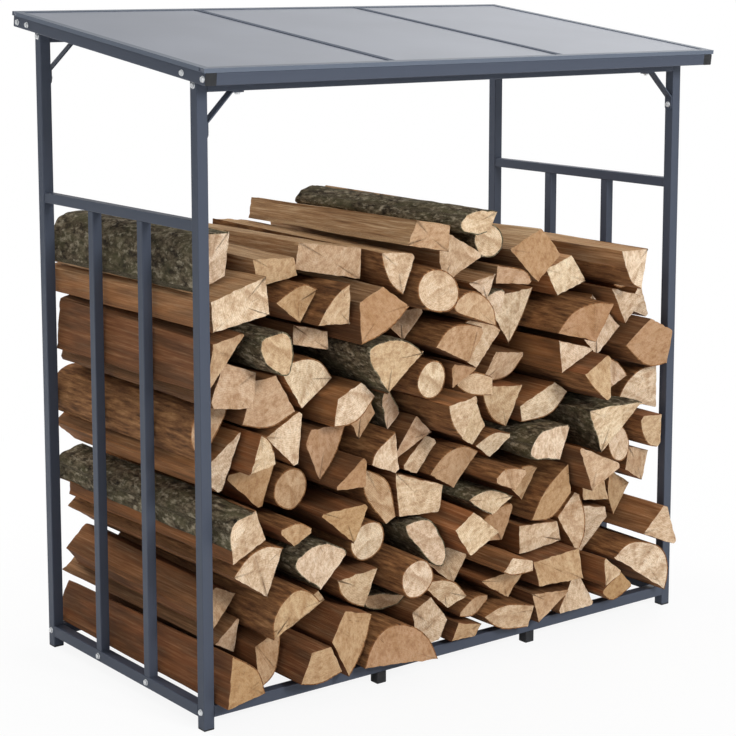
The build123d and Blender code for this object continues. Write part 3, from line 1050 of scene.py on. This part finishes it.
            # Thin bark: nearly smooth, with dents of 17 x 55 mm.
            skin = self.ripple(s * 60, y * 18, 9)
            depth = 1.0 + 1.1 * wave + 0.7 * skin
        else:
            # Split faces: ledges 300 mm long, where the wood tore from fibre to fibre.
            torn = self.ripple(s * 60 + wave, y * 3.2, 21)
            ledge = math.floor(3.0 * torn) / 3.0
            fibre = self.ripple(s * 210, y * 9, 33)
            depth = 2.6 + 2.2 * wave + 2.3 * ledge + 0.9 * fibre
        return max(0.0, depth) * MM

    def build(self, store: LogMesh) -> None:
        """Add the log to a joined mesh.

        Args:
            store: Mesh data that receives the log.
        """
        ring = self.outline()
        count = len(ring)
        base = len(store.points)
        length = self.back_plane[0] - self.front_plane[0]
        near = [0.0] + [step / length for step in self.end_steps]
        inner = [self.inner_start + (1 - 2 * self.inner_start) * k / (self.inner_rings - 1)
                 for k in range(self.inner_rings)]
        steps = near + inner + [1 - t for t in reversed(near)]
        lean = self.rng.uniform(-1, 1)
        thin = self.rng.uniform(0.0, self.taper)
        thick_front = self.rng.random() < self.thick_front_share
        foot = min(self.corners, key=lambda c: c.z)
        for i, t in enumerate(steps):
            rim = i in (0, len(steps) - 1)
            for p in ring:
                a = self.at(self.front_plane, p.x, p.z)
                b = self.at(self.back_plane, p.x, p.z)
                y = a + (b - a) * t
                sink = self.sink(p, y) + (self.end_sink if rim else 0.0)
                sink += self.bow * (1 + lean * math.cos(math.pi * t)) * (1 - 0.2 * lean)
                slim = 1 - thin * (t if thick_front else 1 - t)
                x = p.x + p.inward[0] * sink
                z = p.z + p.inward[1] * sink
                store.add(self, foot.x + (x - foot.x) * slim, y,
                          foot.z + (z - foot.z) * slim, p.way)
        cover = Cover.MOSSY if self.mossy else Cover.SMOOTH
        for i in range(len(steps) - 1):
            for k in range(count):
                n = (k + 1) % count
                barked = ring[k].bark + ring[n].bark > 1.5
                low, high = base + i * count, base + (i + 1) * count
                store.faces.append((low + k, low + n, high + n, high + k))
                store.covers.append((cover if barked else Cover.SPLIT).value)
        self.cap(store, ring, base, True, cover)
        self.cap(store, ring, base + (len(steps) - 1) * count, False, cover)

    def cap(self, store: LogMesh, ring: list[RingPoint], start: int, front: bool,
            cover: Cover) -> None:
        """Close one end with a slightly rough sawn face.

        Args:
            store: Mesh data that receives the face.
            ring: Outline of the log.
            start: Number of the first point of the outline at this end.
            front: Whether this is the front end.
            cover: Bark that shows as a thin rim round the end.
        """
        count = len(ring)
        inwards = 1 if front else -1
        rim = [store.points[start + k] for k in range(count)]
        mid_x = sum(p[0] for p in rim) / count
        mid_y = sum(p[1] for p in rim) / count
        mid_z = sum(p[2] for p in rim) / count
        last = list(range(start, start + count))
        store.rims.update((last[k - 1], last[k]) for k in range(count))
        for stage, share in enumerate(self.cap_shares):
            row = []
            for k in range(count):
                x, y, z = rim[k]
                reach = math.hypot(x - mid_x, z - mid_z)
                part = min(0.2, self.bark_rim / reach) if stage == 0 else share
                px, pz = x + (mid_x - x) * part, z + (mid_z - z) * part
                rough = self.saw_rough * (self.ripple(px * 60, pz * 60) + 1)
                py = y + (mid_y - y) * part + inwards * rough
                row.append(store.add(self, px, py, pz, ring[k].way))
            for k in range(count):
                n = (k + 1) % count
                face = (last[k], row[k], row[n], last[n])
                bark = stage == 0 and ring[k].bark + ring[n].bark > 1.5
                store.faces.append(face if front else face[::-1])
                store.covers.append((cover if bark else Cover.END).value)
            last = row
        tip = store.add(self, mid_x, mid_y + inwards * self.saw_rough, mid_z, 0.0)
        for k in range(count):
            face = (last[k], tip, last[(k + 1) % count])
            store.faces.append(face if front else face[::-1])
            store.covers.append(Cover.END.value)


@dataclass
class LogMesh:
    """Points, faces and attributes of all the logs in one layer."""

    points: list[Place] = field(default_factory=list)
    faces: list[tuple[int, ...]] = field(default_factory=list)
    covers: list[int] = field(default_factory=list)
    rims: set[tuple[int, int]] = field(default_factory=set)
    heart: list[float] = field(default_factory=list)
    run: list[float] = field(default_factory=list)
    tone: list[float] = field(default_factory=list)

    def add(self, log: SplitLog, x: float, y: float, z: float, way: float) -> int:
        """Add one point with what the materials read there.

        Args:
            log: The log that the point belongs to.
            x: Place across the store.
            y: Place along the log.
            z: Height.
            way: Distance round the outline.

        Returns:
            The number of the point.
        """
        self.points.append((x, y, z))
        dx, dz = x - log.heart[0], z - log.heart[1]
        self.heart += [dx, dz, dx * math.cos(log.saw) + dz * math.sin(log.saw)]
        self.run += [way, y, log.seed]
        self.tone += log.tone
        return len(self.points) - 1

    def make(self, name: str) -> bpy.types.Object:
        """Turn the data into an object.

        Args:
            name: Name of the piece.

        Returns:
            The object, linked to the scene.
        """
        mesh = bpy.data.meshes.new(name)
        mesh.from_pydata(self.points, [], self.faces)
        for label, values in (("heart", self.heart), ("run", self.run), ("tone", self.tone)):
            layer = mesh.attributes.new(label, "FLOAT_VECTOR", "POINT")
            layer.data.foreach_set("vector", values)
        mesh.polygons.foreach_set("use_smooth", [True] * len(self.faces))
        rims = {tuple(sorted(pair)) for pair in self.rims}
        sharp = [tuple(sorted(edge.vertices)) in rims for edge in mesh.edges]
        mesh.edges.foreach_set("use_edge_sharp", sharp)
        mesh.update()
        return add_object(name, mesh)


@dataclass
class LogHeap:
    """The heap: each layer of plain logs is replaced by its worked-out logs."""

    nodes: dict[str, bpy.types.Object]
    seed: int = 4
    weld: float = 0.02 * MM
    same_corner: float = 0.3 * MM
    mossy_spots: tuple[Point, ...] = ((-0.60, 0.93), (-0.58, 0.47), (-0.50, 0.80),
                                      (-0.42, 0.30), (0.03, 1.05), (0.12, 0.78),
                                      (0.20, 1.02), (0.47, 0.55), (-0.15, 0.18),
                                      (-0.21, 0.73), (-0.14, 0.59), (0.08, 0.36),
                                      (-0.08, 0.30), (0.28, 0.47))

    def split_parts(self, node: bpy.types.Object) -> list[list[Corner]]:
        """Find the separate logs in a CAD node.

        Args:
            node: Node with one closed prism for each log.

        Returns:
            The corners of each log's section, counter-clockwise.
        """
        mesh = node.data
        keys: dict[tuple[int, int, int], int] = {}
        same = []
        for v in mesh.vertices:
            key = tuple(round(c / self.weld) for c in v.co)
            same.append(keys.setdefault(key, len(keys)))
        group = list(range(len(keys)))

        def root(k: int) -> int:
            """Find what stands for a group of points.

            Args:
                k: A point of the group.

            Returns:
                The number of the point that stands for the group.
            """
            while group[k] != k:
                group[k] = group[group[k]]
                k = group[k]
            return k

        for face in mesh.polygons:
            first = root(same[face.vertices[0]])
            for k in face.vertices[1:]:
                group[root(same[k])] = first
        logs: dict[int, list[Vector]] = {}
        for v, k in zip(mesh.vertices, same):
            logs.setdefault(root(k), []).append(v.co)
        return [self.section(points) for points in logs.values()]

    def section(self, points: list[Vector]) -> list[Corner]:
        """Order the corners of one prism.

        Args:
            points: All points of the prism.

        Returns:
            Its corners, counter-clockwise with x right and z up.
        """
        corners: list[Corner] = []
        for p in points:
            for c in corners:
                if math.hypot(c.x - p.x, c.z - p.z) < self.same_corner:
                    c.front, c.back = min(c.front, p.y), max(c.back, p.y)
                    break
            else:
                corners.append(Corner(p.x, p.z, p.y, p.y))
        x = sum(c.x for c in corners) / len(corners)
        z = sum(c.z for c in corners) / len(corners)
        corners.sort(key=lambda c: math.atan2(c.z - z, c.x - x))
        return corners

    def build(self) -> None:
        """Work out every layer and put it in place of its node."""
        # In the order of Cover, because a face's cover is the number of its material.
        finishes = [
            SawnEnd().make(), SplitFace().make(),
            BarkCover("bark_thin_ruddy", Cover.SMOOTH,
                      ("#45301f", "#6e4a2f", "#8d633f", "#b08459"),
                      9 * MM, 60 * MM, 1.2 * MM).make(),
            BarkCover("bark_plated_with_moss", Cover.MOSSY,
                      ("#16120d", "#3c3327", "#685b48", "#9a8d74"),
                      13 * MM, 25 * MM, 4.0 * MM).make(),
        ]
        names = sorted(n for n in self.nodes if n.startswith("logs_layer"))
        sections = {name: self.split_parts(self.nodes[name]) for name in names}
        middles = {(name, k): (sum(c.x for c in s) / len(s), sum(c.z for c in s) / len(s))
                   for name in names for k, s in enumerate(sections[name])}
        mossy = {min(middles, key=lambda key: math.dist(middles[key], spot))
                 for spot in self.mossy_spots}
        for name in names:
            store = LogMesh()
            for k, corners in enumerate(sections[name]):
                rng = random.Random(self.seed * 1000 + hash_name(name) + k)
                SplitLog(corners, rng, mossy=(name, k) in mossy).build(store)
            piece = store.make(name.replace("layer", "split"))
            wear_material(piece, *finishes)
            piece.data.polygons.foreach_set("material_index", store.covers)
            piece.data.update()
            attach(piece, "root")
            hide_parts(name)
            LOG.info("%s: %d logs, %d faces", piece.name, len(sections[name]),
                     len(store.faces))


def hash_name(name: str) -> int:
    """Return a number that depends only on the letters of a name."""
    return sum(ord(c) * (k + 7) for k, c in enumerate(name))


@dataclass(frozen=True)
class Lamp:
    """One square soft lamp that looks at the heap."""

    name: str
    place: Place
    power: float
    side: float
    mirrored: bool = False


@dataclass
class Studio:
    """Pale floor, soft light and the camera."""

    yaw: float = math.radians(37.42)
    pitch: float = math.radians(8.11)
    place: Place = (-2.7285, -3.5505, 1.5420)
    focal: float = 1958.0
    image: float = 736.0
    shift: float = -120.0
    sensor: float = 36.0
    lamps_aim: Place = (0.0, 0.0, 0.65)
    # Only the fill is mirrored: the others would show as white patches in the sheets.
    lamps: tuple[Lamp, ...] = (Lamp("key", (0.4, -4.7, 2.8), 150.0, 1.3),
                               Lamp("fill", (-3.9, -3.2, 1.8), 25.0, 2.2, mirrored=True),
                               Lamp("back", (-1.2, 4.3, 2.4), 160.0, 2.0),
                               Lamp("roof", (2.6, 0.6, 3.4), 36.0, 1.6))
    floor_size: float = 60.0
    paler_side: Place = (0.79, -0.61, 0.0)

    def build_floor(self) -> None:
        """Lay a pale floor that turns white in the distance and keeps the shadow."""
        half = self.floor_size / 2
        mesh = bpy.data.meshes.new("floor")
        corners = [(-half, -half, 0), (half, -half, 0), (half, half, 0), (-half, half, 0)]
        mesh.from_pydata(corners, [], [(0, 1, 2, 3)])
        floor = add_object("floor", mesh)
        material, tree, shader = new_material("floor_painted_pale")
        set_inputs(tree, shader, {"Base Color": (0.88, 0.88, 0.88, 1.0), "Roughness": 0.9,
                                  "Specular IOR Level": 0.0})
        spot = add_node(tree, "TexCoord").outputs["Object"]
        away = add_node(tree, "VectorMath", {0: spot}, operation="LENGTH")
        far = add_node(tree, "MapRange", {"Value": away.outputs["Value"], "From Min": 1.0,
                                          "From Max": 2.2, "To Min": 0.90, "To Max": 1.0})
        path = add_node(tree, "LightPath")
        seen = add_node(tree, "Math", {0: path.outputs["Is Camera Ray"], 1: far.outputs[0]},
                        operation="MULTIPLY")
        white = add_node(tree, "Emission", {"Color": (1, 1, 1, 1), "Strength": 1.0})
        mixed = add_node(tree, "MixShader", {0: seen.outputs[0], 1: shader.outputs[0],
                                             2: white.outputs[0]})
        set_inputs(tree, tree.nodes["Material Output"], {"Surface": mixed.outputs[0]})
        wear_material(floor, material)
        LOG.info("floor laid")

    def build_world(self) -> None:
        """Light the object evenly, with white behind it and a paler right side in gloss."""
        world = bpy.data.worlds.new("studio")
        bpy.context.scene.world = world
        world.use_nodes = True
        tree = world.node_tree
        path = add_node(tree, "LightPath")
        direct = add_node(tree, "Math", {0: path.outputs["Is Camera Ray"],
                                         1: path.outputs["Is Transmission Ray"]},
                          operation="MAXIMUM")
        soft = add_node(tree, "Background", {"Color": (0.95, 0.98, 1.0, 1.0),
                                             "Strength": 0.47})
        white = add_node(tree, "Background", {"Color": (1, 1, 1, 1), "Strength": 1.0})
        plain = add_node(tree, "MixShader", {0: direct.outputs[0], 1: soft.outputs[0],
                                             2: white.outputs[0]})
        # Gloss sees a paler wall on the right, so the roof brightens from left to right.
        way = add_node(tree, "TexCoord").outputs["Generated"]
        turn = add_node(tree, "VectorMath", {0: way, 1: self.paler_side},
                        operation="DOT_PRODUCT")
        glow = add_node(tree, "MapRange", {"Value": turn.outputs["Value"], "From Min": -0.16,
                                           "From Max": 0.16, "To Min": 0.54,
                                           "To Max": 1.26})
        wall = add_node(tree, "Background", {"Color": (1, 1, 1, 1),
                                             "Strength": glow.outputs[0]})
        mixed = add_node(tree, "MixShader", {0: path.outputs["Is Glossy Ray"],
                                             1: plain.outputs[0], 2: wall.outputs[0]})
        set_inputs(tree, tree.nodes["World Output"], {"Surface": mixed.outputs[0]})

    def hang_lamp(self, lamp: Lamp) -> None:
        """Hang one lamp.

        Args:
            lamp: Its name, place, power in watts, side, and whether gloss shows it.
        """
        data = bpy.data.lights.new(lamp.name, "AREA")
        data.energy = lamp.power
        data.size = lamp.side
        light = add_object(lamp.name, data)
        light.location = lamp.place
        light.visible_glossy = lamp.mirrored
        aim = Vector(self.lamps_aim) - Vector(lamp.place)
        light.rotation_euler = aim.to_track_quat("-Z", "Y").to_euler()

    def build_camera(self) -> None:
        """Set the camera where the photograph was taken from."""
        data = bpy.data.cameras.new("camera")
        data.sensor_fit = "HORIZONTAL"
        data.sensor_width = self.sensor
        data.lens = self.sensor * self.focal / self.image
        data.shift_y = self.shift / self.image
        data.clip_end = 100.0
        camera = add_object("camera", data)
        camera.location = self.place
        aim = Vector((math.sin(self.yaw) * math.cos(self.pitch),
                      math.cos(self.yaw) * math.cos(self.pitch), -math.sin(self.pitch)))
        camera.rotation_euler = aim.to_track_quat("-Z", "Y").to_euler()
        bpy.context.scene.camera = camera

    def build(self) -> None:
        """Set up floor, world, lamps and camera."""
        self.build_floor()
        self.build_world()
        for lamp in self.lamps:
            self.hang_lamp(lamp)
            LOG.info("lamp %s hung", lamp.name)
        self.build_camera()
        bpy.context.scene.view_settings.view_transform = "Standard"


def main() -> None:
    """Load the frame, dress it and set up floor, light and camera."""
    logging.basicConfig(level=logging.INFO, format="%(message)s")
    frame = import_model()
    nodes = frame["nodes"]
    SteelFrame(nodes).dress()
    RoofSheets(nodes).dress()
    Fasteners().build()
    LogHeap(nodes).build()
    Studio().build()


if __name__ == "__main__":
    main()
